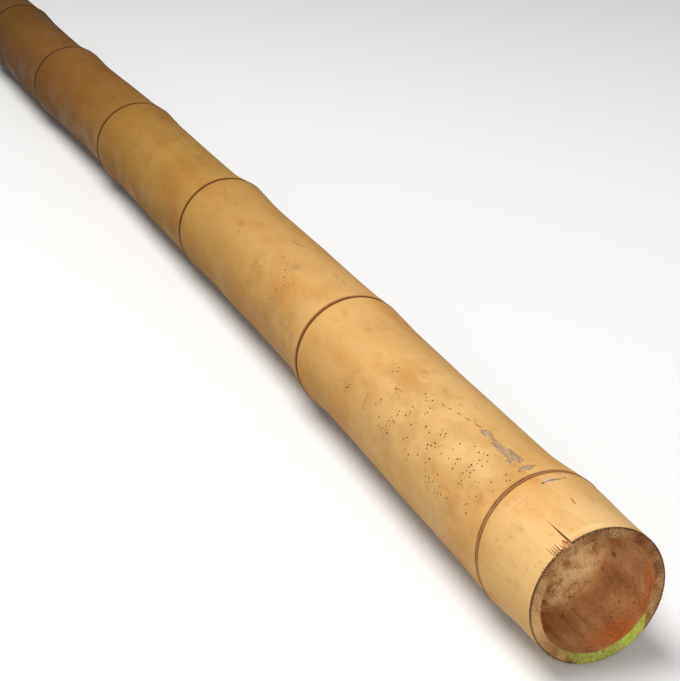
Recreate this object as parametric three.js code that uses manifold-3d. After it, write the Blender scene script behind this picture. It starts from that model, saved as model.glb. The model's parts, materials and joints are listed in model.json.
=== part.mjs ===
// A bamboo cane: one culm, sawn at both ends and lying along X on the plane z = 0.
// The thick butt end is at +X, and the cane grew towards -X. Lengths are in millimetres.
// The origin is the middle of the bottom of the cane's box.
import * as THREE from "three";
import { mergeVertices } from "three/addons/utils/BufferGeometryUtils.js";
import Module from "manifold-3d";

const wasm = await Module();
wasm.setup();

// ---- Driving dimensions ----
const LENGTH = 2000; // from the middle of the butt cut to the tip cut
const BUTT_RADIUS = 45; // outside, between nodes, at the butt
const TIP_RADIUS = 43.5;
const BUTT_WALL = 7;
const TIP_WALL = 5.5;

// Each node: its distance from the butt cut, how far the cane has bowed towards +Y there,
// and how far the next internode leans away from its branch side, + towards +Y.
const NODES = [
  { at: 78, bow: 0, lean: -1.2 },
  { at: 440, bow: 3.8, lean: 1 },
  { at: 809, bow: 8.5, lean: -1.4 },
  { at: 1143, bow: 7, lean: 0.8 },
  { at: 1470, bow: 2.4, lean: -1.4 },
  { at: 1776, bow: 0, lean: 1 },
];
const LEAN_RUN = 60; // distance past a node over which the lean comes in

const SWELLING = 2; // a node's swelling above the internodes
const SWELLING_BUTT_RUN = 38; // how far it spreads on each side
const SWELLING_TIP_RUN = 30;
const SCAR_HEIGHT = 0.7; // the sharp ring that the leaf sheath leaves on the crest
const SCAR_HALF_WIDTH = 1.5;

const DIAPHRAGM = 6; // thickness of the wall that closes the culm at each node
const CAVITY_CORNER = 14; // how far the corner between a diaphragm and the culm wall reaches
// The corner's outline: shares of the bore's radius, each at a share of the corner's reach.
const CORNER_OUTLINE = [
  [0, 0],
  [0.6, 0.07],
  [0.92, 0.35],
];

const CUT_TILT = THREE.MathUtils.degToRad(6.6); // the butt was sawn this far off square
const CUT_LEAN = THREE.MathUtils.degToRad(132.5); // around X from +Y, where it stands out most

const BORER_HOLE = 0.8; // radius of the beetle holes that open the closed internodes
const BORER_SIDE = THREE.MathUtils.degToRad(140); // around X from +Y, where they are
const BORER_PLACE = 1 / 3; // how far along its internode each one is
const BORER_SIDES = 8;

// A side count of 24 puts one flat side at the bottom, as wide as the cane can rest on.
const SIDES = 24;
const HALF_SIDE = Math.PI / SIDES;
const SPARE = 60; // how far cutting shapes run past what they cut
const SAME_POINT = 1e-3; // points closer than this are one point

// Where the outline has points: distances from each node, and shares of each internode.
const NODE_POINTS = [-56, -38, -24, -12, -SCAR_HALF_WIDTH, 0, SCAR_HALF_WIDTH, 10, 20, 32, 50];
const INTERNODE_POINTS = [0.35, 0.6];

// ---- The culm's size and place at a distance s from the butt cut ----
const along = (butt, tip, s) => THREE.MathUtils.lerp(butt, tip, s / LENGTH);
const internodeRadius = (s) => along(BUTT_RADIUS, TIP_RADIUS, s);
const boreRadius = (s) => internodeRadius(s) - along(BUTT_WALL, TIP_WALL, s);

// Swelling above the internodes: a bell round each node, with the sheath scar's ridge on top.
function nodeHeight(s) {
  let height = 0;
  for (const { at } of NODES) {
    const d = s - at;
    const run = d < 0 ? SWELLING_BUTT_RUN : SWELLING_TIP_RUN;
    const scar = Math.max(0, 1 - Math.abs(d) / SCAR_HALF_WIDTH);
    height += SWELLING * Math.exp(-((d / run) ** 2)) + SCAR_HEIGHT * scar;
  }
  return height;
}

// The bow goes straight from node to node, because a culm turns only at its nodes.
function bow(s) {
  const next = NODES.findIndex(({ at }) => at > s);
  if (next === 0) return NODES[0].bow;
  if (next === -1) return NODES.at(-1).bow;
  const [a, b] = [NODES[next - 1], NODES[next]];
  return THREE.MathUtils.mapLinear(s, a.at, b.at, a.bow, b.bow);
}

// The lean comes in just past a node and fades out before the next one.
function lean(s) {
  const i = NODES.findLastIndex(({ at }) => at <= s);
  if (i === -1) return 0;
  const end = i + 1 < NODES.length ? NODES[i + 1].at : LENGTH;
  const comesIn = THREE.MathUtils.smoothstep(s, NODES[i].at, NODES[i].at + LEAN_RUN);
  const fades = 1 - THREE.MathUtils.smoothstep(s, NODES[i].at + LEAN_RUN, end);
  return NODES[i].lean * comesIn * fades;
}

// The middle of the culm. Each node's lowest side then touches z = 0.
const middleY = (s) => bow(s) + lean(s);
const middleZ = (s) => (internodeRadius(s) + SWELLING + SCAR_HEIGHT) * Math.cos(HALF_SIDE);

// ---- Shapes ----
// A lathed profile of [radius, s] points, turned to lie along -X and moved onto the culm's middle.
function culmShape(profile) {
  const points = profile.map(([radius, s]) => new THREE.Vector2(radius, s));
  const geometry = new THREE.LatheGeometry(points, SIDES, HALF_SIDE);
  geometry.rotateZ(Math.PI / 2);
  const position = geometry.getAttribute("position");
  for (let i = 0; i < position.count; i++) {
    const s = -position.getX(i);
    position.setY(i, position.getY(i) + middleY(s));
    position.setZ(i, position.getZ(i) + middleZ(s));
  }
  return geometry;
}

function outerProfile() {
  const stations = [-SPARE / 2, LENGTH];
  NODES.forEach(({ at }, i) => {
    const end = i + 1 < NODES.length ? NODES[i + 1].at : LENGTH;
    stations.push(...NODE_POINTS.map((d) => at + d));
    stations.push(...INTERNODE_POINTS.map((share) => THREE.MathUtils.lerp(at, end, share)));
  });
  stations.sort((a, b) => a - b);
  const outline = stations.map((s) => [internodeRadius(s) + nodeHeight(s), s]);
  return [[0, stations[0]], ...outline, [0, stations.at(-1)]];
}

// The hollow between two distances. A side that a diaphragm closes has a rounded corner.
function cavityProfile(from, to, closedFrom, closedTo) {
  const corner = (s, inwards) => [
    ...CORNER_OUTLINE.map(([radius, reach]) => [radius * boreRadius(s), s + reach * inwards]),
    [boreRadius(s + inwards), s + inwards],
  ];
  const mouth = (s) => [
    [0, s],
    [boreRadius(s), s],
  ];
  const start = closedFrom ? corner(from, CAVITY_CORNER) : mouth(from);
  const finish = closedTo ? corner(to, -CAVITY_CORNER) : mouth(to);
  const middle = (from + to) / 2;
  return [...start, [boreRadius(middle), middle], ...finish.reverse()];
}

function cavities() {
  const faces = NODES.map(({ at }) => [at - DIAPHRAGM / 2, at + DIAPHRAGM / 2]);
  const shapes = [cavityProfile(-SPARE, faces[0][0], false, true)];
  for (let i = 0; i + 1 < faces.length; i++) {
    shapes.push(cavityProfile(faces[i][1], faces[i + 1][0], true, true));
  }
  shapes.push(cavityProfile(faces.at(-1)[1], LENGTH + SPARE, true, false));
  return shapes.map(culmShape);
}

// The block of air that the saw leaves past the butt, its near face tilted.
function buttCut() {
  const size = 4 * BUTT_RADIUS;
  const block = new THREE.BoxGeometry(size, size, size);
  block.translate(size / 2, 0, 0);
  block.rotateZ(-CUT_TILT);
  block.rotateX(CUT_LEAN);
  return block.translate(0, middleY(0), middleZ(0));
}

// A round hole through the wall into each closed internode.
function borerHoles() {
  return NODES.slice(0, -1).map(({ at }, i) => {
    const s = THREE.MathUtils.lerp(at, NODES[i + 1].at, BORER_PLACE);
    const depth = 2 * BUTT_WALL;
    const hole = new THREE.CylinderGeometry(BORER_HOLE, BORER_HOLE, depth, BORER_SIDES);
    hole.translate(0, internodeRadius(s) - along(BUTT_WALL, TIP_WALL, s) / 2, 0);
    hole.rotateX(BORER_SIDE);
    return hole.translate(-s, middleY(s), middleZ(s));
  });
}

// ---- Joining and cutting ----
function solidOf(geometry) {
  const bare = geometry.clone();
  bare.deleteAttribute("normal");
  bare.deleteAttribute("uv");
  const merged = mergeVertices(bare, SAME_POINT);
  const vertProperties = merged.getAttribute("position").array;
  const triVerts = new Uint32Array(merged.index.array);
  return new wasm.Manifold(new wasm.Mesh({ numProp: 3, vertProperties, triVerts }));
}

function geometryOf(solid) {
  const { vertProperties, triVerts } = solid.getMesh();
  const geometry = new THREE.BufferGeometry();
  geometry.setAttribute("position", new THREE.BufferAttribute(vertProperties, 3));
  geometry.setIndex(new THREE.BufferAttribute(triVerts, 1));
  geometry.computeVertexNormals();
  return geometry;
}

// ---- The cane ----
function caneGeometry() {
  let culm = solidOf(culmShape(outerProfile()));
  for (const cutter of [...cavities(), buttCut(), ...borerHoles()]) {
    culm = culm.subtract(solidOf(cutter));
  }
  const geometry = geometryOf(culm);
  geometry.computeBoundingBox();
  const middle = geometry.boundingBox.getCenter(new THREE.Vector3());
  return geometry.translate(-middle.x, -middle.y, -geometry.boundingBox.min.z);
}

const driedBamboo = new THREE.MeshStandardMaterial({
  color: 0xd8ab68,
  roughness: 0.5,
  metalness: 0,
});
const cane = new THREE.Mesh(caneGeometry(), driedBamboo);
cane.name = "bamboo_cane";

const group = new THREE.Group();
group.add(cane);

export default group;
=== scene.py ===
# %% [markdown]
# # A bamboo cane
# A bamboo cane is a culm: the hollow stem of a giant grass, dried and sawn to length. It grew as one
# piece, so this lesson makes it as one closed mesh, with a finish for each kind of surface on it.
#
# The frame comes first. It holds the size and the place that every later step works from.

# %% Load the frame
import json

import bpy
import numpy as np
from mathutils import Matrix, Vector


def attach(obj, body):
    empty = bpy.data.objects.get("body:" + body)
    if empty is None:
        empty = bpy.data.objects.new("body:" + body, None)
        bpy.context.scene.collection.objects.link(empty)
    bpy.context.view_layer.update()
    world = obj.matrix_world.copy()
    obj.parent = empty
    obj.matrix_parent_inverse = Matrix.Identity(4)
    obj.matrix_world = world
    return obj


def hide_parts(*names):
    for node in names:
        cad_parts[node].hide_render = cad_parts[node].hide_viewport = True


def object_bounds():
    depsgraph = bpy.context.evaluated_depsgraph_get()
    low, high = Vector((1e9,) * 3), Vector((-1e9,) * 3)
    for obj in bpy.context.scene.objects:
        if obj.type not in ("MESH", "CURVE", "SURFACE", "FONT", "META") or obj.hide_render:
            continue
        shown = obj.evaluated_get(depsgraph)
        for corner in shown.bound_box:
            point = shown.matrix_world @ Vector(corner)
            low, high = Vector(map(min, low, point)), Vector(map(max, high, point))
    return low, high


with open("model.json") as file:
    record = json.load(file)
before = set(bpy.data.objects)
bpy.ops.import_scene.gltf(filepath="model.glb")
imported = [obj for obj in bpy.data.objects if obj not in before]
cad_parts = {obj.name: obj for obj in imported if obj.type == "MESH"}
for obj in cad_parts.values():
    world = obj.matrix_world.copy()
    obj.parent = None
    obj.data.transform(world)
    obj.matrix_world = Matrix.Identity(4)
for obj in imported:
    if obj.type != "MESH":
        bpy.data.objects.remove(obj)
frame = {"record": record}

cad_low, cad_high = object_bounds()
print("frame box", [round(v, 4) for v in (*cad_low, *cad_high)])

# %% [markdown]
# ## The camera
# A long cane seen from near its end looks short and steep in a wide lens, and flat in a long one. The
# camera stands on the butt's side, 1.6 m from the point that it looks at, with a portrait lens.

# %% Camera
AIM = Vector((0.532, -0.002, 0.050))  # on the cane's middle, about 0.47 m from the butt cut
CAMERA_AZIMUTH = np.radians(70.9)
CAMERA_ELEVATION = np.radians(19.5)
CAMERA_DISTANCE = 1.601
SENSOR_WIDTH, LENS = 36, 107.8  # millimetres

camera_data = bpy.data.cameras.new("camera")
camera_data.sensor_width = SENSOR_WIDTH
camera_data.lens = LENS
camera = bpy.data.objects.new("camera", camera_data)
bpy.context.collection.objects.link(camera)
bpy.context.scene.camera = camera

away = Vector((
    np.sin(CAMERA_AZIMUTH) * np.cos(CAMERA_ELEVATION),
    -np.cos(CAMERA_AZIMUTH) * np.cos(CAMERA_ELEVATION),
    np.sin(CAMERA_ELEVATION),
))
camera.location = AIM + CAMERA_DISTANCE * away
camera.rotation_euler = (-away).to_track_quat("-Z", "Y").to_euler()
print("camera at", [round(v, 3) for v in camera.location])

# %% [markdown]
# ## The culm's measures
# A culm is a slightly tapered tube with a wall across it at every node. These are the frame's own
# measures, in metres. Positions along it are distances `s` from the butt cut, and angles go round
# the culm from +Y towards +Z.

# %% Measures
MM = 0.001
LENGTH = 2000 * MM
BUTT_RADIUS, TIP_RADIUS = 45 * MM, 43.5 * MM
BUTT_WALL, TIP_WALL = 7 * MM, 5.5 * MM
NODE_AT = np.array([78, 440, 809, 1143, 1470, 1776]) * MM
NODE_BOW = np.array([0, 3.8, 8.5, 7, 2.4, 0]) * MM
NODE_LEAN = np.array([-1.2, 1, -1.4, 0.8, -1.4, 1]) * MM
LEAN_RUN = 60 * MM
SWELLING = 2 * MM
SWELLING_BUTT_RUN, SWELLING_TIP_RUN = 38 * MM, 30 * MM
SCAR_HEIGHT = 0.7 * MM
DIAPHRAGM = 6 * MM
CAVITY_CORNER = 14 * MM
CUT_TILT, CUT_LEAN = np.radians(6.6), np.radians(132.5)
BUTT_X = cad_low.x + LENGTH
BUTT_Y = frame["record"]["mounts"][0]["pos_m"][1]  # the middle of the butt's face
LUMP = 0.5 * MM  # how far the skin's slow lumps could rise if all their waves met


def internode_radius(s):
    """Outside radius between nodes: straight from the butt's to the tip's."""
    return BUTT_RADIUS + (TIP_RADIUS - BUTT_RADIUS) * s / LENGTH


def bore_radius(s):
    """Inside radius: the outside one less a wall that thins towards the tip."""
    return internode_radius(s) - (BUTT_WALL + (TIP_WALL - BUTT_WALL) * s / LENGTH)


def smooth_step(value, start, end):
    """0 before start, 1 after end, and the cubic 3t^2 - 2t^3 between."""
    t = np.clip((value - start) / (end - start), 0, 1)
    return t * t * (3 - 2 * t)


def past_node(s):
    """For each node, how strongly its internode still leans at s: in over LEAN_RUN, out by the next."""
    ends = np.append(NODE_AT[1:], LENGTH)
    s = np.asarray(s)[..., None]
    comes_in = smooth_step(s, NODE_AT, NODE_AT + LEAN_RUN)
    return comes_in * (1 - smooth_step(s, NODE_AT + LEAN_RUN, ends))


def middle_y(s):
    """The middle's sideways place: straight from node to node, plus each internode's lean."""
    return BUTT_Y + np.interp(s, NODE_AT, NODE_BOW) + past_node(s) @ NODE_LEAN


def middle_z(s):
    """The middle's height: the crest's radius and a third of a lump, so that no node dips into the
    floor."""
    return internode_radius(s) + SWELLING + SCAR_HEIGHT + LUMP / 3


print("nodes at", NODE_AT, "m from the butt cut")

# %% [markdown]
# ## The skin's shape
# No culm is a clean turned shape. Its rings lean and wander off square, each internode is a little
# flat on the side where the branch bud lay, and the whole skin is slightly lumpy. A sum of a few
# cosine waves with random phases gives such slow wander, closes up round the culm, and is the same
# on each run.

# %% Radius of the skin
rng = np.random.default_rng(7)


def waves(count, longest, shortest, turns):
    """A seeded function of (s, angle): cosines of random wavelength, whole turns and phase, averaged."""
    pitch = 2 * np.pi / rng.uniform(shortest, longest, count)
    around = rng.integers(0, turns + 1, count)
    phase = rng.uniform(0, 2 * np.pi, count)

    def value(s, angle):
        s, angle = np.broadcast_arrays(s, angle)
        return np.cos(pitch * s[..., None] + around * angle[..., None] + phase).mean(-1)

    return value


lumps = waves(24, 400 * MM, 60 * MM, 4)
ring_grain = waves(30, 30 * MM, 8 * MM, 24)
scar_tilt = rng.uniform(0.2, 0.9, len(NODE_AT)) * MM
scar_turn = rng.uniform(0, 2 * np.pi, len(NODE_AT))
# The first three scars also lean: how far past its node each one is on average, how much it leans,
# and the angle at which it reaches furthest towards the tip.
SCAR_SHIFT = np.array([-1.5, 0, -1.3, 0, 0, 0]) * MM
SCAR_LEAN = np.array([5.5, 4, 3, 0, 0, 0]) * MM
SCAR_LEAN_SIDE = np.radians([20, -38, 20, 0, 0, 0])
BRANCH_SIDE = np.radians(np.where(NODE_LEAN < 0, 30, 210))
BRANCH_WIDTH = np.radians(34)
BRANCH_DEPTH = 0.9 * MM
# The parts of a scar from the butt's side on, a lip, a groove, a ridge and a dip: how far past the
# scar each one is, its width, and its height or depth.
SCAR_PROFILE = np.array([(-2.4, 1.4, 0.2), (-0.9, 0.6, 0.7), (0.7, 0.9, 0.49), (3.4, 1.6, 0.25)]) * MM
RIDGE_GRAIN = 1.5  # how much the ridge's height varies with its waves


def scar_wander(angle):
    """Each scar's distance past its node at an angle: shift + lean * cos(angle - lean's side), plus
    a slight seeded tilt of the same form."""
    angle = np.asarray(angle)[..., None]
    lean = SCAR_LEAN * np.cos(angle - SCAR_LEAN_SIDE)
    return SCAR_SHIFT + lean + scar_tilt * np.cos(angle - scar_turn)


def smallest(distance):
    """The entry of the last axis that is nearest to zero, with its sign."""
    nearest = np.abs(distance).argmin(-1)[..., None]
    return np.take_along_axis(distance, nearest, -1)[..., 0]


def scar_distance(s, angle):
    """Signed distance to the nearest sheath scar, + towards the tip."""
    s, angle = np.broadcast_arrays(s, angle)
    return smallest(s[..., None] - NODE_AT - scar_wander(angle))


def bell(distance, width):
    """exp(-(distance / width)^2)."""
    return np.exp(-((distance / width) ** 2))


def branch_flat(s, angle):
    """Depth of the flat past each node: a bell round the branch side, fading along the internode."""
    turn = np.abs((angle[..., None] - BRANCH_SIDE + np.pi) % (2 * np.pi) - np.pi)
    return (past_node(s) * bell(turn, BRANCH_WIDTH)).sum(-1) * BRANCH_DEPTH


def skin_radius(s, angle):
    """Internode radius, plus the node's swelling and the scar's parts, less the branch flat, plus slow
    lumps. Each part of the scar is its height times a bell of the distance to it."""
    s, angle = np.broadcast_arrays(s, angle)
    past = smallest(s[..., None] - NODE_AT)
    swelling = SWELLING * bell(past, np.where(past < 0, SWELLING_BUTT_RUN, SWELLING_TIP_RUN))
    distance = scar_distance(s, angle)
    grain = 1 + RIDGE_GRAIN * ring_grain(s, angle)
    lip, groove, ridge, dip = (height * bell(distance - at, width) for at, width, height in SCAR_PROFILE)
    shape = internode_radius(s) + swelling + lip - groove + ridge * grain - dip
    return shape - branch_flat(s, angle) + LUMP * lumps(s, angle)


sample_angles = np.linspace(0, 2 * np.pi, 90)
print("at the nodes", skin_radius(NODE_AT[:, None], sample_angles).mean(1).round(4), "m from the middle")

# %% [markdown]
# ## One grid for the whole culm
# The surface is one sheet: from the middle of the first diaphragm out to the bore, along the bore
# to the sawn rim, over the rim, down the whole skin, and into the tip end in the same way. Every row
# of the grid is a ring of points, worked out as whole arrays, so the shape stays one closed solid.

# %% Rows of the grid
COLUMNS = 224
angles = np.linspace(-np.pi / 2, 1.5 * np.pi, COLUMNS, endpoint=False)
CUT_BLEND = 58 * MM  # the slant of the cut fades out of the rows over this distance
ON_SCAR, OFF_SCAR = 14 * MM, 50 * MM  # rows follow a scar within the first, and not past the second
ROW_STEP = 12 * MM  # between rows, away from the scars and the cuts


def cut_slant(radius, angle):
    """How far the slanted butt cut moves a point along s: -tan(tilt) r cos(angle - lean)."""
    return -np.tan(CUT_TILT) * radius * np.cos(angle - CUT_LEAN)


def slanted(s, radius):
    """Rows at s, the ones near the butt moved onto planes that turn with the cut."""
    return s + cut_slant(radius, angles) * np.clip(1 - s / CUT_BLEND, 0, 1)


def beside_scars(s):
    """Moves rows near a node by its scar's wander, times a share that falls with distance from it."""
    near = 1 - smooth_step(np.abs(s[..., None] - NODE_AT), ON_SCAR, OFF_SCAR)
    return s + (near * scar_wander(angles)).sum(-1)


def skin_stations():
    """Distances of the skin's rows: close together at the cut and at each scar, wide between."""
    cut = [0.25, 0.6, 1, 1.5, 2.2, 3, 4, 5.5, 7.5, 10, 13, 17, 21, 26, 31, 36, 41, 46, 51, 56, 61]
    scar = [-12, -8.5, -6, -4, -2.8, -1.8, -1.2, -0.85, -0.5, -0.2, 0.1, 0.45, 0.8, 1.2, 1.7, 2.3]
    scar += [3.2, 4.5, 6.5, 9.5, 13]
    scar = np.array(scar) * MM
    ends = np.append(NODE_AT[1:] + scar[0], LENGTH)
    stations = [np.array(cut) * MM]
    for at, end in zip(NODE_AT, ends):
        start = at + scar[-1]
        steps = int((end - start) / ROW_STEP)
        stations += [at + scar, np.linspace(start, end, steps + 1)[1:-1]]
    return np.concatenate([*stations, [LENGTH - 1 * MM, LENGTH - 0.3 * MM]])


skin_s = beside_scars(skin_stations()[:, None] + 0 * angles)
skin_s = slanted(skin_s, skin_radius(skin_s, angles))
skin_rows = (skin_s, skin_radius(skin_s, angles))
print(len(skin_s), "rows of skin,", COLUMNS, "points round")

# %% [markdown]
# ## Sawn ends, bores and diaphragms
# A saw leaves bamboo's end grain rough: hard fibre bundles stand a little proud of the soft wood
# between, the blade leaves parallel lines, and the edge of the bore is ragged. Random heights at the
# grid's points do the bundles and a sine across the face does the blade, so the ends need no texture
# to look sawn, and they stay rough in the mesh itself.

# %% Rough ends and the hollow
RIM_ROWS = 11
SAW_PITCH = 2.3 * MM
SAW_TURN = np.radians(20)
SAW_LINE, FIBRE_HEIGHT = 0.12 * MM, 0.11 * MM
BORE_LUMP = 0.5 * MM
BORE_RAG = 3 * MM  # how far the sawn edge could jut into the bore if all its waves met
DISH = 1.2 * MM  # how far each diaphragm's middle is dished
BUTT_BEVEL, TIP_BEVEL = 0.25 * MM, 0.2 * MM  # how far the sawn faces stop short of the skin
rim_ragged = waves(40, 1, 0.5, 60)
bore_lumps = waves(20, 90 * MM, 25 * MM, 5)


def rim(s, inner, outer, outwards):
    """Rows across a sawn face from inner to outer radius. The face's height is a sine of the distance
    across the blade's lines, plus a random height for each point."""
    share = np.linspace(0, 1, RIM_ROWS + 2)[1:-1, None]
    radius = inner + (outer - inner) * share
    across = radius * np.cos(angles - SAW_TURN)
    height = SAW_LINE * np.sin(2 * np.pi * across / SAW_PITCH)
    height = height + rng.normal(0, FIBRE_HEIGHT, radius.shape)
    return s + cut_slant(radius, angles) * (outwards < 0) + outwards * height, radius


def hollow(mouth, wall, towards):
    """Rows of a bore from its mouth to the middle of its diaphragm. The corner is a quarter ellipse."""
    depths = np.array([0.3, 1, 2.2, 4, 7, 11, 16, 22, 29, 37, 45, 53])[:, None] / 53
    end = wall - towards * CAVITY_CORNER
    s = mouth + (end - mouth) * depths
    inside = bore_radius(s) + BORE_LUMP * bore_lumps(s, angles)
    turn = np.linspace(0, np.pi / 2, 10)[1:, None]
    corner = bore_radius(end) + BORE_LUMP * bore_lumps(end, angles)
    corner = corner - CAVITY_CORNER * (1 - np.cos(turn))
    share = np.array([0.86, 0.7, 0.55, 0.4, 0.25, 0.1])[:, None]
    flat_s = wall + towards * DISH * (1 - share**2)
    return (
        np.concatenate([s + 0 * angles, end + towards * CAVITY_CORNER * np.sin(turn) + 0 * angles,
                        flat_s + 0 * angles]),
        np.concatenate([inside, corner, corner[-1] * share]),
    )


first_face = NODE_AT[0] - DIAPHRAGM / 2
last_face = NODE_AT[-1] + DIAPHRAGM / 2
butt_bore = hollow(0.0, first_face, 1)
tip_bore = hollow(LENGTH, last_face, -1)
ragged_edge = BORE_RAG * np.abs(rim_ragged(np.zeros(COLUMNS), angles))
butt_bore[0][:] = slanted(butt_bore[0], butt_bore[1])
butt_rim = rim(0.0, bore_radius(0) - ragged_edge, skin_rows[1][0] - BUTT_BEVEL, -1)
tip_rim = rim(LENGTH, bore_radius(LENGTH) - 0.5 * ragged_edge, skin_rows[1][-1] - TIP_BEVEL, 1)
print("bore at the butt", round(2 * bore_radius(0) / MM, 1), "mm wide")

# %% [markdown]
# ## Joining the rows
# A grid of rows becomes faces by one rule: each point joins the next one round and the next row. A
# point at the middle of each diaphragm closes the two ends with a fan. The signed volume, a sum over
# faces of base times height from the origin, is positive only if the faces look outwards.

# %% Culm mesh
SKIN, SAWN_END, HOLLOW, FRAYED_EDGE, BARED_FIBRE, TORN_WOOD, BEETLE_HOLE = range(7)


def place(s, radius, angle):
    """The point at s along the culm, at that radius from its middle and that angle round it."""
    s, radius, angle = np.broadcast_arrays(s, radius, angle)
    y = middle_y(s) + radius * np.cos(angle)
    z = middle_z(s) + radius * np.sin(angle)
    return np.stack([BUTT_X - s, y, z], -1)


def new_mesh(name, points, faces, kinds):
    """A mesh of these points and faces, each face with its kind as its material index."""
    mesh = bpy.data.meshes.new(name)
    mesh.from_pydata(points.reshape(-1, 3).tolist(), [], faces)
    mesh.polygons.foreach_set("material_index", np.asarray(kinds, dtype=np.int32))
    mesh.update()
    return mesh


def signed_volume(mesh):
    """A sixth of the sum, over triangles, of the triple product of their corners."""
    mesh.calc_loop_triangles()
    corners = np.empty(len(mesh.loop_triangles) * 3, dtype=np.int32)
    mesh.loop_triangles.foreach_get("vertices", corners)
    points = np.empty(len(mesh.vertices) * 3)
    mesh.vertices.foreach_get("co", points)
    a, b, c = points.reshape(-1, 3)[corners.reshape(-1, 3)].transpose(1, 0, 2)
    return float(np.einsum("ij,ij->i", a, np.cross(b, c)).sum() / 6)


RIND_ROWS = 3  # rows of skin beside the butt cut that the saw left brown
parts = [
    (butt_bore[0][::-1], butt_bore[1][::-1], HOLLOW),
    (*butt_rim, SAWN_END),
    (skin_rows[0][:RIND_ROWS], skin_rows[1][:RIND_ROWS], SAWN_END),
    (skin_rows[0][RIND_ROWS:], skin_rows[1][RIND_ROWS:], SKIN),
    (tip_rim[0][::-1], tip_rim[1][::-1], SAWN_END),
    (*tip_bore, HOLLOW),
]
grid_s = np.concatenate([s for s, _, _ in parts])
grid_r = np.concatenate([radius for _, radius, _ in parts])
row_kind = np.concatenate([[kind] * len(s) for s, _, kind in parts])
points = place(grid_s, grid_r, angles).reshape(-1, 3)
poles = place(np.array([first_face + DISH, last_face - DISH]), 0.0, 0.0)
rows, last = len(grid_s), len(points)
here = np.arange(last).reshape(rows, COLUMNS)
beside = np.roll(here, -1, axis=1)
quads = np.stack([here[:-1], here[1:], beside[1:], beside[:-1]], -1).reshape(-1, 4)
fan_butt = np.stack([here[0], beside[0], np.full(COLUMNS, last)], -1)
fan_tip = np.stack([beside[-1], here[-1], np.full(COLUMNS, last + 1)], -1)
kinds = np.concatenate([np.repeat(row_kind[1:], COLUMNS), np.full(2 * COLUMNS, HOLLOW)])
culm_mesh = new_mesh("bamboo_culm", np.vstack([points, poles]),
                     quads.tolist() + fan_butt.tolist() + fan_tip.tolist(), kinds)
print("volume", round(signed_volume(culm_mesh) * 1e6), "cm3,", len(culm_mesh.polygons), "faces")

# %% [markdown]
# ## Holes, flakes and tears
# Beetles bored this cane, its skin has flaked where it was scraped, and the saw tore fibres out of
# its edge. Each of these is a small solid that is cut away from the culm: a patch with an outline in
# the skin, carried down into the wood. The outline is a superellipse, which a power turns from a
# pointed diamond (1) into an ellipse (2), made ragged by a random share at each point.

# %% Cutting solids
culm = bpy.data.objects.new("bamboo_culm", culm_mesh)
bpy.context.collection.objects.link(culm)
LIFT = 0.8 * MM  # how far a cutter stands out of the skin


def patches(s, angle, length, width, depth, turn=0.0, power=2.0, ragged=0.0, spokes=12, rings=1):
    """Points and faces of closed patches, one for each s. Outline points are (a |cos t|^(2/p),
    b |sin t|^(2/p)) with their signs, turned in the skin by turn, on rings scaled from 0 to 1."""
    s, angle, length, width, depth, turn = (
        np.broadcast_to(v, s.shape)[:, None, None] for v in (s, angle, length, width, depth, turn)
    )
    t = np.linspace(0, 2 * np.pi, spokes, endpoint=False)
    rough = 1 + ragged * rng.uniform(-1, 1, (len(s), 1, spokes))
    scale = (np.arange(1, rings + 1) / rings)[:, None] * rough
    along = length / 2 * np.sign(np.cos(t)) * np.abs(np.cos(t)) ** (2 / power) * scale
    round_it = width / 2 * np.sign(np.sin(t)) * np.abs(np.sin(t)) ** (2 / power) * scale
    point_s = s + along * np.cos(turn) - round_it * np.sin(turn)
    point_a = angle + (along * np.sin(turn) + round_it * np.cos(turn)) / BUTT_RADIUS
    floor = skin_radius(point_s, point_a) - depth
    middle_r = skin_radius(s, angle)
    top = place(point_s, skin_radius(point_s, point_a) + LIFT, point_a).reshape(len(s), -1, 3)
    bottom = place(point_s, floor, point_a).reshape(len(s), -1, 3)
    centres = [place(s, r, angle).reshape(len(s), 1, 3) for r in (middle_r + LIFT, middle_r - depth)]
    one = np.concatenate([top, centres[0], bottom, centres[1]], axis=1)

    ring = np.arange(rings * spokes).reshape(rings, spokes)
    after = np.roll(ring, -1, axis=1)
    under = rings * spokes + 1
    quads = np.stack([ring[:-1], ring[1:], after[1:], after[:-1]], -1).reshape(-1, 4)
    wall = np.stack([ring[-1], ring[-1] + under, after[-1] + under, after[-1]], -1)
    fan = np.stack([ring[0], after[0], np.full(spokes, under - 1)], -1)
    faces = quads.tolist() + wall.tolist() + fan.tolist()
    faces += (quads[:, ::-1] + under).tolist() + (fan[:, ::-1] + under).tolist()
    offsets = np.arange(len(s)) * one.shape[1]
    return one.reshape(-1, 3), [[int(i + o) for i in face] for o in offsets for face in faces]


def cut_away(kind, points, faces):
    """Cuts a mesh of closed patches out of the culm and leaves faces of that kind."""
    mesh = new_mesh("cutter", points, faces, [kind] * len(faces))
    if signed_volume(mesh) < 0:
        mesh.flip_normals()
    cutter = bpy.data.objects.new("cutter", mesh)
    bpy.context.collection.objects.link(cutter)
    cut = culm.modifiers.new("cut", "BOOLEAN")
    cut.operation, cut.solver, cut.object = "DIFFERENCE", "MANIFOLD", cutter
    evaluated = culm.evaluated_get(bpy.context.evaluated_depsgraph_get())
    made = bpy.data.meshes.new_from_object(evaluated)
    culm.modifiers.clear()
    culm.data = made
    bpy.data.objects.remove(cutter)
    print(len(faces), "cutter faces of kind", kind, "leave", len(made.polygons), "faces")


for _ in range(BEETLE_HOLE + 1):  # one slot for each kind of surface
    culm.data.materials.append(None)
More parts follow.
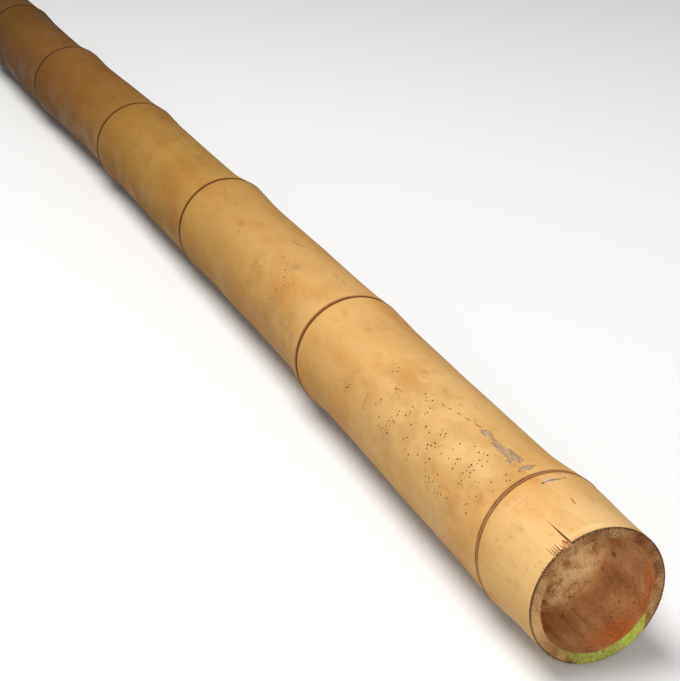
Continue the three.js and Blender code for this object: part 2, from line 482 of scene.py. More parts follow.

# %% [markdown]
# ## Where the marks are
# Beetle holes come in small groups, because a female lays several eggs in one place, and the groups
# crowd where the culm was sappiest. So a few regions are given, groups are scattered in them
# and holes in the groups. A hole is dropped if it would touch another one or lie close to a scar,
# and there are none between the butt cut and the first node.

# %% Beetle holes
HOLE_GAP, HOLE_DEPTH = 2 * MM, 4 * MM
CLEAR_OF_SCAR = 6 * MM
GROUP_SPREAD, GROUP_TURN = 3.5, 3.2  # a group's spread in mm along the culm and in degrees round it
# Each region: its middle and spread along the culm in mm, its middle and spread round it in
# degrees, and how many groups it holds.
HOLE_REGIONS = [
    (135, 34, 138, 12, 22),
    (150, 50, 158, 9, 14),
    (200, 40, 128, 10, 10),
    (255, 35, 148, 10, 9),
    (300, 40, 124, 8, 3),
    (560, 40, 142, 9, 6),
    (500, 30, 164, 7, 6),
    (700, 60, 250, 25, 5),
    (1240, 60, 40, 20, 4),
    (1600, 90, 300, 25, 5),
    (330, 60, 232, 20, 6),
    (960, 110, 215, 24, 6),
    (1120, 80, 322, 22, 5),
]


def scattered_holes():
    """Centres of the holes: regions, then groups in them, then one to four holes in each group."""
    found = []
    for middle, spread, turn, turn_spread, groups in HOLE_REGIONS:
        for _ in range(groups):
            s, angle = rng.normal(middle, spread), rng.normal(turn, turn_spread)
            for _ in range(rng.integers(1, 5)):
                found.append((s + rng.normal(0, GROUP_SPREAD), angle + rng.normal(0, GROUP_TURN)))
    kept = []
    for s, angle in found:
        place_mm = np.array([s, np.radians(angle) * BUTT_RADIUS / MM])
        if abs(scar_distance(s * MM, np.radians(angle))) < CLEAR_OF_SCAR or s * MM < NODE_AT[0]:
            continue
        if all(np.hypot(*(place_mm - other)) * MM > HOLE_GAP for other in kept):
            kept.append(place_mm)
    return np.array(kept) * MM


holes = scattered_holes()
hole_width = rng.uniform(0.8, 1.4, len(holes)) * MM
hole_length = hole_width * rng.uniform(1.0, 1.7, len(holes))
cut_away(BEETLE_HOLE, *patches(holes[:, 0], holes[:, 1] / BUTT_RADIUS, hole_length, hole_width,
                               HOLE_DEPTH, turn=rng.uniform(-0.7, 0.7, len(holes)), spokes=10))
print(len(holes), "beetle holes")

# %% [markdown]
# ## Flakes, scratches and cracks
# Where the culm was dragged, its waxy skin came off in shallow flakes and bared the grey fibre. A long
# crack or a scratch is the same patch drawn thin. Rings of points inside each patch let its floor
# follow the round skin, a quarter of a millimetre down for a flake and twice that for a scratch.

# %% Flakes
FLAKE_DEPTH, SCRATCH_DEPTH = 0.25 * MM, 0.5 * MM
# Each mark: distance from the butt cut, angle round the culm in degrees, length along the culm and
# width round it in mm, how far it is turned in the skin in degrees, and its power.
FLAKES = np.array([
    (119, 98.3, 40, 8, 3, 1.6),
    (108, 102.5, 12, 5, -28, 1.2),
    (90, 98.5, 9, 14, 10, 1.0),
    (154, 97.5, 14, 6, 8, 1.8),
    (139, 97.8, 18, 2.6, 3, 1.3),
    (345, 18, 22, 5, 6, 1.4),
    (650, 252, 38, 8, -5, 1.4),
    (1010, 196, 16, 5, 12, 1.3),
    (1350, 305, 30, 7, 8, 1.4),
    (1850, 70, 24, 6, -8, 1.4),
])
# The same numbers for marks cut deeper into the wood.
SCRATCHES = np.array([
    (168, 98, 11, 1.1, 8, 1.2),
    (181, 100.5, 9, 0.9, 10, 1.2),
    (193, 102.5, 7, 0.9, 8, 1.2),
    (204, 105, 6, 1, 14, 1.4),
    (213, 107, 4, 1, 0, 1.6),
    (176, 96.5, 6, 0.7, 6, 1.4),
    (36, 91.5, 11, 1.3, -4, 1.1),
    (295, 152, 0.8, 15, 12, 1.2),
    (481, 83, 16, 0.8, -3, 1.2),
    (596, 88, 22, 0.9, 4, 1.2),
    (983, 88, 84, 1.2, 1, 1.1),
    (1216, 80.5, 66, 1.2, 1, 1.1),
    (66.5, 90, 2.2, 15, 5, 1.1),
    (260, 285, 0.8, 18, 8, 1.2),
    (890, 330, 60, 1, 1, 1.1),
    (1560, 160, 50, 1, -1, 1.1),
])


def marks(table):
    """The columns of a table of marks as lengths in metres and angles in radians, for patches()."""
    s, angle, length, width, turn, power = table.T
    return (s * MM, np.radians(angle), length * MM, width * MM), np.radians(turn), power[:, None, None]


for row in range(3):  # flakes that touch are cut one after another
    place_and_size, turn, power = marks(FLAKES[row::3])
    cut_away(BARED_FIBRE, *patches(*place_and_size, FLAKE_DEPTH, turn, power, ragged=0.22,
                                   spokes=44, rings=4))
place_and_size, turn, power = marks(SCRATCHES)
cut_away(TORN_WOOD, *patches(*place_and_size, SCRATCH_DEPTH, turn, power, ragged=0.2, spokes=28,
                             rings=2))

# %% [markdown]
# ## Fibres torn by the saw
# As the blade leaves the wood it lifts slivers of skin off the edge. Each tear is a pointed diamond
# with its middle on the rim, so the half that is in the wood is a thin wedge. The deepest tear ran
# into a split, and a wider flake came off beside it.

# %% Torn edge
TEAR_PITCH = np.radians(2.1)


def tears(from_deg, to_deg, shortest, longest, width_mm, pitch=TEAR_PITCH, jitter=0.2):
    """Spread tears, each moved by up to jitter pitches: angle, length, width and depth of each."""
    centre = np.arange(np.radians(from_deg), np.radians(to_deg), pitch)
    centre = centre + rng.uniform(-jitter, jitter, len(centre)) * pitch
    length = 2 * MM * rng.uniform(shortest, longest, len(centre))
    width = width_mm * MM * rng.uniform(0.6, 1.1, len(centre))
    return centre, length, width, rng.uniform(0.5, 1.3, len(centre)) * MM


def one_tear(angle_deg, length_mm, width_mm, depth_mm):
    """A single tear, as arrays of one entry."""
    return [np.array([v]) for v in (np.radians(angle_deg), length_mm * MM, width_mm * MM, depth_mm * MM)]


def tear_butt(kind, centre, length, width, depth, ragged=0.1, rings=1):
    """Cuts tears whose middles lie on the slanted rim."""
    s = cut_slant(BUTT_RADIUS, centre)
    cut_away(kind, *patches(s, centre, length, width, depth, power=1.0, ragged=ragged,
                            spokes=16, rings=rings))


tear_butt(TORN_WOOD, *one_tear(118.5, 68, 1.9, 2))
tear_butt(TORN_WOOD, *one_tear(121.5, 17, 5.5, 0.8), rings=4)
tear_butt(TORN_WOOD, *tears(125.2, 134, 6, 17, 1.1, pitch=np.radians(2.2)))
tear_butt(TORN_WOOD, *tears(136, 151, 1, 6, 0.8))
tear_butt(FRAYED_EDGE, *tears(74, 117, 0.6, 3.6, 0.6, pitch=np.radians(2.7), jitter=0.3))
tear_butt(TORN_WOOD, *tears(155, 430, 0.3, 1.0, 0.8, pitch=np.radians(11)))
centre, length, width, depth = tears(20, 160, 1, 4, 1.0, pitch=np.radians(3.3))
cut_away(TORN_WOOD, *patches(LENGTH + 0 * centre, centre, length, width, depth, power=1.0, ragged=0.1))

# %% [markdown]
# ## A flat map of the skin
# Grain, stains and paint have to know where they are on the culm. The cuts made new corners, so the
# maps are worked out from each corner's own place. One map holds the distance from the butt and the
# arc round the culm, with its seam along the bottom. The other holds the distance to the nearest scar
# and the depth below the skin. An attribute on the points holds how near they are to beetle holes.

# %% Maps and edges
def mesh_points(mesh):
    """The mesh's points as an array of x, y, z."""
    points = np.empty(len(mesh.vertices) * 3)
    mesh.vertices.foreach_get("co", points)
    return points.reshape(-1, 3)


def culm_places(points):
    """s, angle from the bottom seam and radius of points: the reverse of place()."""
    s = BUTT_X - points[:, 0]
    y, z = points[:, 1] - middle_y(s), points[:, 2] - middle_z(s)
    return s, (np.arctan2(z, y) + np.pi / 2) % (2 * np.pi), np.hypot(y, z)


def highest_corner(mesh, value):
    """For each face corner, the largest value among its face's corners."""
    sides = np.empty(len(mesh.polygons), dtype=np.int32)
    mesh.polygons.foreach_get("loop_total", sides)
    return np.repeat(np.maximum.reduceat(value, np.cumsum(sides) - sides), sides)


def corner_places(mesh):
    """s, angle from +Y and radius of each face's corners, the angle kept on the face's own side of
    the seam."""
    vertex = np.empty(len(mesh.loops), dtype=np.int32)
    mesh.loops.foreach_get("vertex_index", vertex)
    s, angle, radius = (v[vertex] for v in culm_places(mesh_points(mesh)))
    over_seam = highest_corner(mesh, angle) - angle > np.pi
    return s, np.where(over_seam, angle + 2 * np.pi, angle) - np.pi / 2, radius


def corner_scars(mesh, s, angle):
    """Distance to the nearest scar. Half-way between two scars it jumps from + to -, and a face
    across the jump keeps + at all its corners, or a false scar would show there."""
    distance = scar_distance(s, angle)
    over_jump = highest_corner(mesh, distance) - distance > NODE_AT[0]
    return np.where(over_jump, -distance, distance)


def write_map(mesh, name, across, up):
    """Stores two numbers for each face corner as a UV map."""
    layer = mesh.uv_layers.new(name=name)
    layer.uv.foreach_set("vector", np.stack([across, up], -1).ravel())


def near_holes(points, reach):
    """For each point, half the sum over the beetle holes of a bell of its distance, at most 1."""
    centres = place(holes[:, 0], BUTT_RADIUS, holes[:, 1] / BUTT_RADIUS)
    apart = np.linalg.norm(points[:, None, :] - centres, axis=-1)
    return np.minimum(bell(apart, reach).sum(-1) / 2, 1)


culm_mesh = culm.data
culm_mesh.name = "bamboo_culm"
corner_s, corner_angle, corner_r = corner_places(culm_mesh)
write_map(culm_mesh, "unrolled", corner_s, corner_angle * BUTT_RADIUS)
write_map(culm_mesh, "scar", corner_scars(culm_mesh, corner_s, corner_angle),
          skin_radius(corner_s, corner_angle) - corner_r)
STAIN_REACH = 13 * MM
SHARP_ANGLE = np.radians(38)
stain = culm_mesh.attributes.new("stain", "FLOAT", "POINT")
stain.data.foreach_set("value", near_holes(mesh_points(culm_mesh), STAIN_REACH))
culm_mesh.shade_smooth()
culm_mesh.set_sharp_from_angle(angle=SHARP_ANGLE)
lowest = mesh_points(culm_mesh)[:, 2].min()
print(len(culm_mesh.polygons), "faces, lowest point", round(lowest / MM, 2), "mm")

# %% [markdown]
# ## Tools for the finishes
# Each finish is a network of shader nodes. One helper turns a hex colour into the linear light that
# the shader works in, and one adds a node with its settings and links. The others give arithmetic,
# mixed colours, blotches with a length and a width in millimetres, a spot at a place on the culm, the
# numbers in the maps, a new material, and a bump.

# %% Tools
def linear(hex_colour):
    """sRGB hex to linear RGBA: c / 12.92 below 0.04045, else ((c + 0.055) / 1.055) ^ 2.4."""
    c = np.array([int(hex_colour[i:i + 2], 16) for i in (1, 3, 5)]) / 255
    return (*np.where(c < 0.04045, c / 12.92, ((c + 0.055) / 1.055) ** 2.4), 1.0)


def add(tree, kind, inputs, stops=(), **settings):
    """Adds a shader node. inputs are values, or other nodes' outputs to link, by socket identifier;
    stops are a colour ramp's places and colours. Returns the node's first output."""
    node = tree.nodes.new("ShaderNode" + kind)
    for name, value in settings.items():
        setattr(node, name, value)
    for name, value in inputs.items():
        socket = next(socket for socket in node.inputs if socket.identifier == name)
        if isinstance(value, bpy.types.NodeSocket):
            tree.links.new(value, socket)
        else:
            socket.default_value = value
    if stops:
        ramp = node.color_ramp.elements
        ramp.remove(ramp[1])
        ramp[0].position, ramp[0].color = stops[0]
        for at, colour in stops[1:]:
            ramp.new(at).color = colour
    return next(socket for socket in node.outputs if socket.enabled)


def maths(tree, operation, *values):
    """A Math node on up to three values or outputs, in the order of its sockets."""
    return add(tree, "Math", dict(zip(("Value", "Value_001", "Value_002"), values)), operation=operation)


def mix(tree, share, under, over, mode="MIX"):
    """Lays one colour over another by a share of 0 to 1."""
    return add(tree, "Mix", {"Factor_Float": share, "A_Color": under, "B_Color": over},
               data_type="RGBA", blend_type=mode)


def blotches(tree, along_mm, across_mm, low=0.0, high=1.0, detail=3.0, shift=0.0):
    """Noise at (x / along, y / across, z / across) + shift, then stretched from low..high to 0..1."""
    scale = np.array([1 / along_mm, 1 / across_mm, 1 / across_mm]) / MM
    where = add(tree, "TexCoord", {}).node.outputs["Object"]
    where = add(tree, "Mapping", {"Vector": where, "Location": (shift, shift, 0), "Scale": scale})
    noise = add(tree, "TexNoise", {"Vector": where, "Scale": 1.0, "Detail": detail})
    return add(tree, "MapRange", {"Value": noise, "From Min": low, "From Max": high},
               interpolation_type="SMOOTHSTEP")


def spot(tree, s_mm, angle_deg, along_mm, round_mm, soft=1.0):
    """1 at a place on the culm and 0 outside an ellipse round it, by distance in the unrolled map."""
    size = np.array([along_mm, round_mm]) / 2 * MM
    centre = np.array([s_mm * MM, np.radians(angle_deg) * BUTT_RADIUS]) / size
    where = add(tree, "UVMap", {}, uv_map="unrolled")
    where = add(tree, "Mapping", {"Vector": where, "Location": (*-centre, 0), "Scale": (*1 / size, 1)})
    far = add(tree, "VectorMath", {"Vector": where}, operation="LENGTH")
    far = far.node.outputs["Value"]
    return add(tree, "MapRange", {"Value": far, "From Min": 1 - soft, "From Max": 1.0,
                                  "To Min": 1.0, "To Max": 0.0}, interpolation_type="SMOOTHSTEP")


def map_value(tree, name, axis):
    """One of the two numbers that a map holds."""
    where = add(tree, "SeparateXYZ", {"Vector": add(tree, "UVMap", {}, uv_map=name)})
    return where.node.outputs[axis]


def share_of_turn(tree):
    """The angle round the culm, 0 at +Y to 1 after a whole turn."""
    turn = maths(tree, "DIVIDE", map_value(tree, "unrolled", "Y"), 2 * np.pi * BUTT_RADIUS)
    return maths(tree, "FRACT", turn)


def near_butt(tree, reach_mm):
    """1 up to 0.6 of the reach from the butt cut, falling to 0 at the reach."""
    return add(tree, "MapRange", {"Value": map_value(tree, "unrolled", "X"),
                                  "From Min": 0.6 * reach_mm * MM, "From Max": reach_mm * MM,
                                  "To Min": 1.0, "To Max": 0.0})


def new_finish(name, kind, roughness, **sockets):
    """A material with a Principled shader, put in the culm's slot for faces of that kind."""
    material = bpy.data.materials.new(name)
    material.use_nodes = True
    shader = material.node_tree.nodes["Principled BSDF"]
    shader.inputs["Roughness"].default_value = roughness
    for socket, value in sockets.items():
        shader.inputs[socket.replace("_", " ")].default_value = value
    culm.data.materials[kind] = material
    return material.node_tree, shader


def paint_over(tree, under, colour, share, strength=1.0, mode="MIX"):
    """Lays a colour over another by a share of 0 to 1 times a strength."""
    return mix(tree, maths(tree, "MULTIPLY", share, strength), under, linear(colour), mode)


def roughen(tree, shader, height, depth_mm):
    """Links a bump of that depth, from a height of 0 to 1, to the shader."""
    bump = add(tree, "Bump", {"Height": height, "Distance": depth_mm * MM})
    tree.links.new(bump, shader.inputs["Normal"])


print(len(culm.data.materials), "finishes to make")

# %% [markdown]
# ## Skin: air-dried moso bamboo
# The skin of a culm is a thin, hard rind with wax and silica in it. Once dry it is straw yellow with
# a soft satin sheen, and it browns where it was out in the weather. What the eye reads as bamboo is
# in layers: a slow change of colour along the culm, partly painted shade for the light that falls off
# towards the tip, painted shade on the sides turned away from the light, broad clouds of orange and
# olive, faint streaks along the grain, grey stains round the beetle holes, and a brown line in every
# scar.

# %% Dried bamboo skin
# Straw at the butt, honey in the middle and brown towards the tip, partly the skin's own browning and
# partly painted shade for the light that falls off towards the tip: distance from the butt in mm.
SKIN_AND_FALLOFF_COLOURS = [(0, "#C8A26C"), (420, "#BC9258"), (880, "#9A7436"), (1300, "#78501C"), (1750, "#58380A")]
# Painted shade: the sides and underside turned away from the overhead light are a little darker: angle
# round the culm in degrees, and share.
PAINTED_SIDE_SHADE = [(0, 0.5), (55, 0.35), (85, 0.1), (125, 0), (150, 0.6), (180, 1), (300, 1), (360, 0.5)]
# Stains and scuffs: colour, distance from the butt in mm, angle round the culm in degrees, length
# along and width round it in mm, how soft the edge is, and strength.
SKIN_MARKS = [
    ("#DDBF8E", 1.5, 97, 9, 42, 0.9, 0.4),
    ("#B87840", 71, 102, 7, 7, 0.7, 0.8),
    ("#A0988C", 66.5, 92, 7, 13, 0.6, 0.8),
    ("#B8B0A4", 66.5, 94.5, 4, 5, 0.7, 0.7),
    ("#2E2117", 65.5, 99, 2.6, 2.6, 0.5, 0.9),
    ("#40301F", 68.5, 79.5, 1.8, 3, 0.5, 0.85),
    ("#D9C198", 61, 127, 2.4, 26, 1.0, 0.3),
    ("#D6BE94", 55.5, 121, 1.6, 18, 1.0, 0.25),
    ("#AE9A77", 58.5, 118, 5, 16, 1.0, 0.4),
    ("#AE7539", 53, 155, 6, 5, 0.9, 0.45),
    ("#93784E", 44, 170, 7, 3, 1.0, 0.5),
    ("#93714A", 542, 111, 16, 9, 0.35, 0.6),
    ("#8C6A40", 573, 112, 6, 4, 0.5, 0.6),
    ("#8E784B", 496, 84, 22, 4, 1.0, 0.5),
    ("#8E784B", 592, 87, 26, 4, 1.0, 0.5),
    ("#6E4E28", 862, 150, 12, 7, 1.0, 0.5),
]
SCAR_SPAN = 6 * MM  # the scar's bands lie within this distance of it
BAND_WANDER = 0.8 * MM  # how far noise moves them
FIRST_SCAR_REACH = 150  # how far from the butt cut the first scar's own bands are used, in mm
SCAR_BANDS = [
    (-6, "#FFFFFF", 0.0), (-2.2, "#E4D8CC", 0.3), (-1.6, "#AE8C78", 0.8), (-0.9, "#806458", 1.0),
    (0.1, "#8C6C5C", 1.0), (1.2, "#9A7C68", 1.0), (2.8, "#A88C74", 0.95), (4.2, "#C0A88E", 0.75),
    (5.2, "#DCCCB8", 0.4), (6, "#FFFFFF", 0.0),
]
# The first scar's ridge is worn to a pinkish line between two dark ones.
FIRST_SCAR_BANDS = [
    (-6, "#FFFFFF", 0.0), (-2.6, "#D8CCC0", 0.3), (-1.8, "#7C666A", 0.9), (-1.2, "#4A3C44", 1.0),
    (-0.7, "#665458", 1.0), (-0.35, "#B8A0A6", 0.9), (0.3, "#C2AEB4", 0.9), (0.6, "#6E5A62", 1.0),
    (1.1, "#463A40", 1.0), (1.8, "#7E6C66", 0.9), (3, "#C8BCA8", 0.5), (6, "#FFFFFF", 0.0),
]


def scar_bands(tree, colour):
    """Multiplies a colour by both tables' bands, by distance from the scar with a little wander."""
    distance = maths(tree, "MULTIPLY_ADD", blotches(tree, 9, 4), BAND_WANDER, map_value(tree, "scar", "X"))
    span = add(tree, "MapRange", {"Value": distance, "From Min": BAND_WANDER / 2 - SCAR_SPAN,
                                  "From Max": BAND_WANDER / 2 + SCAR_SPAN})
    first = near_butt(tree, FIRST_SCAR_REACH)
    later = maths(tree, "SUBTRACT", 1.0, first)
    for table, where in ((SCAR_BANDS, later), (FIRST_SCAR_BANDS, first)):
        stops = [((at * MM / SCAR_SPAN + 1) / 2, (*linear(band)[:3], share))
                 for at, band, share in table]
        bands = add(tree, "ValToRGB", {"Fac": span}, stops=stops)
        share = maths(tree, "MULTIPLY", bands.node.outputs["Alpha"], where)
        colour = mix(tree, share, colour, bands, "MULTIPLY")
    return colour


def skin_colour(tree):
    """The skin's layers, from the slowest to the finest."""
    # Colour along the culm, partly painted shade for the light falling off towards the tip.
    share = maths(tree, "DIVIDE", map_value(tree, "unrolled", "X"), LENGTH)
    stops = [(at * MM / LENGTH, linear(colour)) for at, colour in SKIN_AND_FALLOFF_COLOURS]
    colour = add(tree, "ValToRGB", {"Fac": share}, stops=stops)
    # Painted shade on the sides and underside, away from the overhead light.
    stops = [(at / 360, (*[share] * 3, 1)) for at, share in PAINTED_SIDE_SHADE]
    side_shade = add(tree, "ValToRGB", {"Fac": share_of_turn(tree)}, stops=stops)
    layers = [
        ("#ECE8DA", side_shade, 1.0),
        ("#EADFC0", blotches(tree, 190, 70, 0.42, 0.66), 0.6),
        ("#F1D6AC", blotches(tree, 120, 42, 0.5, 0.7, shift=7), 0.55),
        ("#E2D3B4", blotches(tree, 46, 22, 0.5, 0.72, detail=6, shift=3), 0.3),
        ("#E4CBA0", blotches(tree, 120, 3.2, 0.5, 0.8, detail=2), 0.14),
        ("#CDB68E", blotches(tree, 24, 12, 0.58, 0.76, detail=6, shift=11), 0.35),
        ("#D8C4A0", blotches(tree, 9, 5, 0.55, 0.75, detail=4, shift=17), 0.3),
        ("#A98A5C", blotches(tree, 2.8, 1.5, 0.68, 0.78, detail=2, shift=5), 0.7),
    ]
    for over, where, strength in layers:
        colour = paint_over(tree, colour, over, where, strength, "MULTIPLY")
    near = add(tree, "Attribute", {}, attribute_name="stain").node.outputs["Fac"]
    patchy = maths(tree, "MULTIPLY", near, blotches(tree, 26, 16, 0.35, 0.62, 5))
    colour = paint_over(tree, colour, "#D8D2BC", patchy, 0.45, "MULTIPLY")
    for mark, s_mm, turn, along_mm, round_mm, soft, strength in SKIN_MARKS:
        colour = paint_over(tree, colour, mark, spot(tree, s_mm, turn, along_mm, round_mm, soft), strength)
    return scar_bands(tree, colour)


tree, shader = new_finish("waxy dried bamboo skin", SKIN, 0.5, Specular_IOR_Level=0.1)
tree.links.new(skin_colour(tree), shader.inputs["Base Color"])
patchy_wax = add(tree, "MapRange", {"Value": blotches(tree, 60, 30, 0.35, 0.65), "To Min": 0.55,
                                    "To Max": 0.8})
tree.links.new(patchy_wax, shader.inputs["Roughness"])
roughen(tree, shader, blotches(tree, 30, 1.2, 0.3, 0.7, detail=2), 0.04)
print("skin finish has", len(tree.nodes), "nodes")

# %% [markdown]
# ## Sawn end: bamboo end grain
# Cut across, the wall shows its fibre bundles as pale dots of about half a millimetre in brown
# softer wood, closer together and darker towards the skin. They are drawn twice as wide, or they
# would be lost at this distance. The butt also has a stripe of yellow-green acrylic marking paint.

# %% Sawn end
BUNDLE = 1.0 * MM
PAINT_COLOURS = ["#747C30", "#989E44"]
PAINT_LEAST, PAINT_MOST = -1, 10  # the depths in mm between which the paint's edge is given
PAINT_REACH, BORE_PAINT_REACH = 40, 3.4  # mm from the butt cut, on the sawn face and in the bore
# Where the paint lies: angle round the culm in degrees, and the least depth below the skin in mm.
# It runs out from the bore's edge, takes the whole wall under the culm, and runs back in.
PAINT_EDGE = [(-139, 8), (-128, 5.2), (-112, 3.6), (-103, -1), (-44, -1), (-36, 2.5), (-27, 8)]


def painted(tree):
    """How much the paint covers: up to 0.92 where the depth below the skin, made ragged by noise, is
    more than the paint's edge is at this angle. The edge is a colour ramp over the turn round the
    culm, scaled to 0..1."""
    span = PAINT_MOST - PAINT_LEAST
    stops = [(at / 360 + 1, (*[(edge - PAINT_LEAST) / span] * 3, 1)) for at, edge in PAINT_EDGE]
    edge = add(tree, "ValToRGB", {"Fac": share_of_turn(tree)}, stops=stops)
    edge = add(tree, "MapRange", {"Value": edge, "To Min": PAINT_LEAST * MM, "To Max": PAINT_MOST * MM})
    depth = maths(tree, "MULTIPLY_ADD", blotches(tree, 2.2, 2.2, detail=4), 4 * MM,
                  map_value(tree, "scar", "Y"))
    over = maths(tree, "SUBTRACT", depth, edge)
    return add(tree, "MapRange", {"Value": over, "From Min": 1.4 * MM, "From Max": 3.0 * MM,
                                  "To Max": 0.92})


def end_colour(tree):
    """End grain, darker at the skin and stained in patches, then the butt's paint."""
    where = add(tree, "TexCoord", {}).node.outputs["Object"]
    cells = add(tree, "TexVoronoi", {"Vector": where, "Scale": 1 / BUNDLE})
    stops = [(0, linear("#B48F5E")), (0.4, linear("#9A744A")), (0.8, linear("#7A5A38"))]
    colour = add(tree, "ValToRGB", {"Fac": cells}, stops=stops)
    colour = paint_over(tree, colour, "#B08E6E", blotches(tree, 14, 14, 0.4, 0.65), 0.8, "MULTIPLY")
    colour = paint_over(tree, colour, "#E0B27C", blotches(tree, 9, 9, 0.5, 0.7, shift=4), 0.4, "MULTIPLY")
    colour = paint_over(tree, colour, "#C08A58", spot(tree, 2, 48, 60, 70, 0.9), 0.7, "MULTIPLY")
    colour = paint_over(tree, colour, "#B8905E", spot(tree, 2, 200, 60, 60, 0.9), 0.5)
    rind = add(tree, "MapRange", {"Value": map_value(tree, "scar", "Y"), "From Min": 0.5 * MM,
                                  "From Max": 1.5 * MM, "To Min": 1.0, "To Max": 0.0})
    colour = paint_over(tree, colour, "#3A281C", rind, 0.85)
    return paint_marking(tree, colour, near_butt(tree, PAINT_REACH))


def paint_marking(tree, colour, where):
    """Adds the marking paint to a colour, in two greens, brown at one end and bright near the other."""
    worn = add(tree, "MapRange", {"Value": blotches(tree, 5, 5, 0.3, 0.6, shift=2), "To Min": 0.6})
    share = maths(tree, "MULTIPLY", maths(tree, "MULTIPLY", painted(tree), worn), where)
    green = add(tree, "ValToRGB", {"Fac": blotches(tree, 2, 2, 0.35, 0.65)},
                stops=[(0, linear(PAINT_COLOURS[0])), (1, linear(PAINT_COLOURS[1]))])
    green = paint_over(tree, green, "#7E6C3C", spot(tree, 2, 240, 60, 34, 0.9), 0.75)
    green = paint_over(tree, green, "#AEC048", spot(tree, 2, -50, 60, 40, 0.9), 0.5)
    return mix(tree, share, colour, green)


tree, shader = new_finish("sawn bamboo end grain", SAWN_END, 0.85, Specular_IOR_Level=0.2)
tree.links.new(end_colour(tree), shader.inputs["Base Color"])
roughen(tree, shader, blotches(tree, 0.9, 0.9, 0.3, 0.7, detail=1), 0.12)

# %% [markdown]
# ## The hollow: papery lining and diaphragm
# Inside, a culm is lined with a thin papery pith skin. In an old cane it is brown from damp. Just
# inside the mouth on the right it is redder and darker, which is painted shade behind the rim. The
# diaphragm and the corner round it are paler, speckled and pitted. One finish does both, because on
# the real cane the pale part ends in a ragged edge and not at the corner.

# %% Lining and diaphragm
PALE_REACH = 13 * MM  # how far from the node the pale part goes


def lining_colour(tree):
    """Brown lining with stains and painted shade behind the rim, paler round the diaphragm."""
    stops = [(0, linear("#A26C40")), (0.5, linear("#BA8452")), (1, linear("#CC9A68"))]
    colour = add(tree, "ValToRGB", {"Fac": blotches(tree, 30, 14, 0.3, 0.7, detail=6)}, stops=stops)
    stains = [
        # The first three are painted shade: redder and darker just inside the mouth on the right, behind
        # the rim.
        ("#C06A2E", spot(tree, 12, -60, 40, 80, 0.9), 0.85),
        ("#C87038", spot(tree, 9, 0, 20, 60, 0.9), 0.8),
        ("#8E4A24", spot(tree, 8, -8, 3, 36, 0.8), 0.5),
        ("#B4704A", spot(tree, 26, -2, 26, 30, 1), 0.5),
        ("#84552E", spot(tree, 46, -92, 60, 26, 1), 0.35),
        ("#5A3A22", spot(tree, 56, -6, 10, 7, 1), 0.8),
        ("#4A2C18", spot(tree, 44, -73.5, 48, 0.9, 0.8), 0.8),
    ]
    for stain, where, strength in stains:
        colour = paint_over(tree, colour, stain, where, strength)
    node = maths(tree, "ABSOLUTE", map_value(tree, "scar", "X"))
    node = maths(tree, "MULTIPLY_ADD", blotches(tree, 9, 9, detail=5), 14 * MM, node)
    pale = add(tree, "MapRange", {"Value": node, "From Min": PALE_REACH + 3 * MM,
                                  "From Max": PALE_REACH + 11 * MM, "To Min": 1.0, "To Max": 0.0})
    stops = [(0, linear("#8E6338")), (0.5, linear("#B88F5C")), (1, linear("#CCAA78"))]
    speckled = add(tree, "ValToRGB", {"Fac": blotches(tree, 8, 8, 0.3, 0.7, detail=8)}, stops=stops)
    colour = mix(tree, pale, colour, speckled)
    dots = maths(tree, "MULTIPLY", blotches(tree, 1.6, 1.6, 0.6, 0.68, 1, shift=9), pale)
    colour = paint_over(tree, colour, "#D2B484", dots, 0.6)
    colour = paint_over(tree, colour, "#7A5230", blotches(tree, 1.8, 1.8, 0.6, 0.7, 3), 0.7, "MULTIPLY")
    return paint_marking(tree, colour, near_butt(tree, BORE_PAINT_REACH))


tree, shader = new_finish("brown papery lining", HOLLOW, 0.75, Specular_IOR_Level=0.2)
tree.links.new(lining_colour(tree), shader.inputs["Base Color"])
roughen(tree, shader, blotches(tree, 4, 1.5, 0.3, 0.7), 0.25)

# %% [markdown]
# ## Bare wood
# Under the rind the wood has no wax, so it is dull. Where a flake came off long ago it has
# weathered to grey-brown. A fresh tear is orange and stringy. A beetle hole's wall is coloured dark
# all the way in, which is painted shade inside the hole.

# %% Bare wood
def streaked(name, kind, dark, light, roughness=0.85):
    """Bare wood between two colours, in streaks about half a millimetre wide along the grain."""
    tree, shader = new_finish(name, kind, roughness, Specular_IOR_Level=0.2)
    streaks = blotches(tree, 12, 0.6, 0.3, 0.7, detail=2)
    colour = add(tree, "ValToRGB", {"Fac": streaks}, stops=[(0, linear(dark)), (1, linear(light))])
    tree.links.new(colour, shader.inputs["Base Color"])
    roughen(tree, shader, streaks, 0.1)


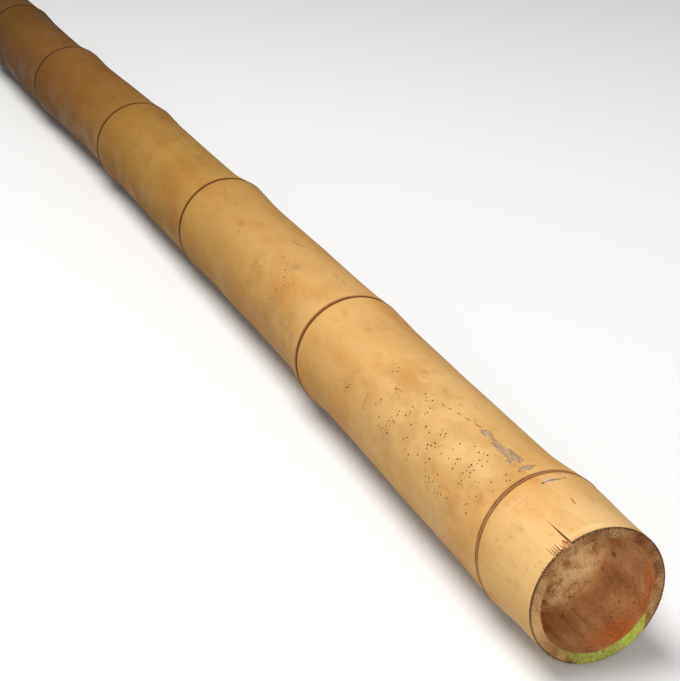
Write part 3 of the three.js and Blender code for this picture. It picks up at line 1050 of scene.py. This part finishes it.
streaked("frayed bamboo fibre", FRAYED_EDGE, "#8A6438", "#C09A62")
streaked("weathered bamboo fibre", BARED_FIBRE, "#80644A", "#A88A68")
streaked("torn bamboo fibre", TORN_WOOD, "#7A4A2A", "#BE8854")
# The hole's dark wall is painted shade inside the hole.
streaked("beetle hole wall with painted shade", BEETLE_HOLE, "#452C14", "#70491F", 0.95)
print([material.name for material in culm.data.materials])

# %% [markdown]
# ## Room and light
# A plain pale floor and two soft lights: a large one nearly overhead, and a small one in front of the
# butt that shines into the hollow. A pale world fills the shadows, so the sides keep their colour.

# %% Floor and light
FLOOR_SIZE = 16.0
floor_mesh = bpy.data.meshes.new("floor")
half = FLOOR_SIZE / 2
floor_mesh.from_pydata([(-half, -half, 0), (half, -half, 0), (half, half, 0), (-half, half, 0)], [],
                       [(0, 1, 2, 3)])
floor = bpy.data.objects.new("floor", floor_mesh)
bpy.context.collection.objects.link(floor)
plaster = bpy.data.materials.new("matt white floor paint")
plaster.use_nodes = True
plaster.node_tree.nodes["Principled BSDF"].inputs["Base Color"].default_value = linear("#D4D3D1")
plaster.node_tree.nodes["Principled BSDF"].inputs["Roughness"].default_value = 0.9
floor_mesh.materials.append(plaster)


def soft_box(name, at, aim, size, watts):
    """A round area light at one point, facing another."""
    lamp = bpy.data.lights.new(name, "AREA")
    lamp.shape, lamp.size, lamp.energy = "DISK", size, watts
    lamp_object = bpy.data.objects.new(name, lamp)
    lamp_object.location = at
    lamp_object.rotation_euler = (Vector(at) - Vector(aim)).to_track_quat("Z", "Y").to_euler()
    bpy.context.collection.objects.link(lamp_object)


soft_box("overhead", (0.25, -0.9, 3.2), (0.25, 0.0, 0.0), 2.2, 140)
soft_box("in front of the butt", (2.4, -0.6, 0.6), (1.0, 0.0, 0.05), 0.9, 22)

world = bpy.data.worlds.new("pale room")
world.use_nodes = True
sky = world.node_tree.nodes["Background"]
sky.inputs["Color"].default_value = linear("#F6F8FC")
sky.inputs["Strength"].default_value = 0.35
bpy.context.scene.world = world
bpy.context.scene.view_settings.view_transform = "Standard"  # shows a pale floor as pale
print("floor, two lamps and the world are in place")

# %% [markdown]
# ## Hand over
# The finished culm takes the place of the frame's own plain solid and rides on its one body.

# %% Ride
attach(culm, "root")
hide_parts("bamboo_cane")
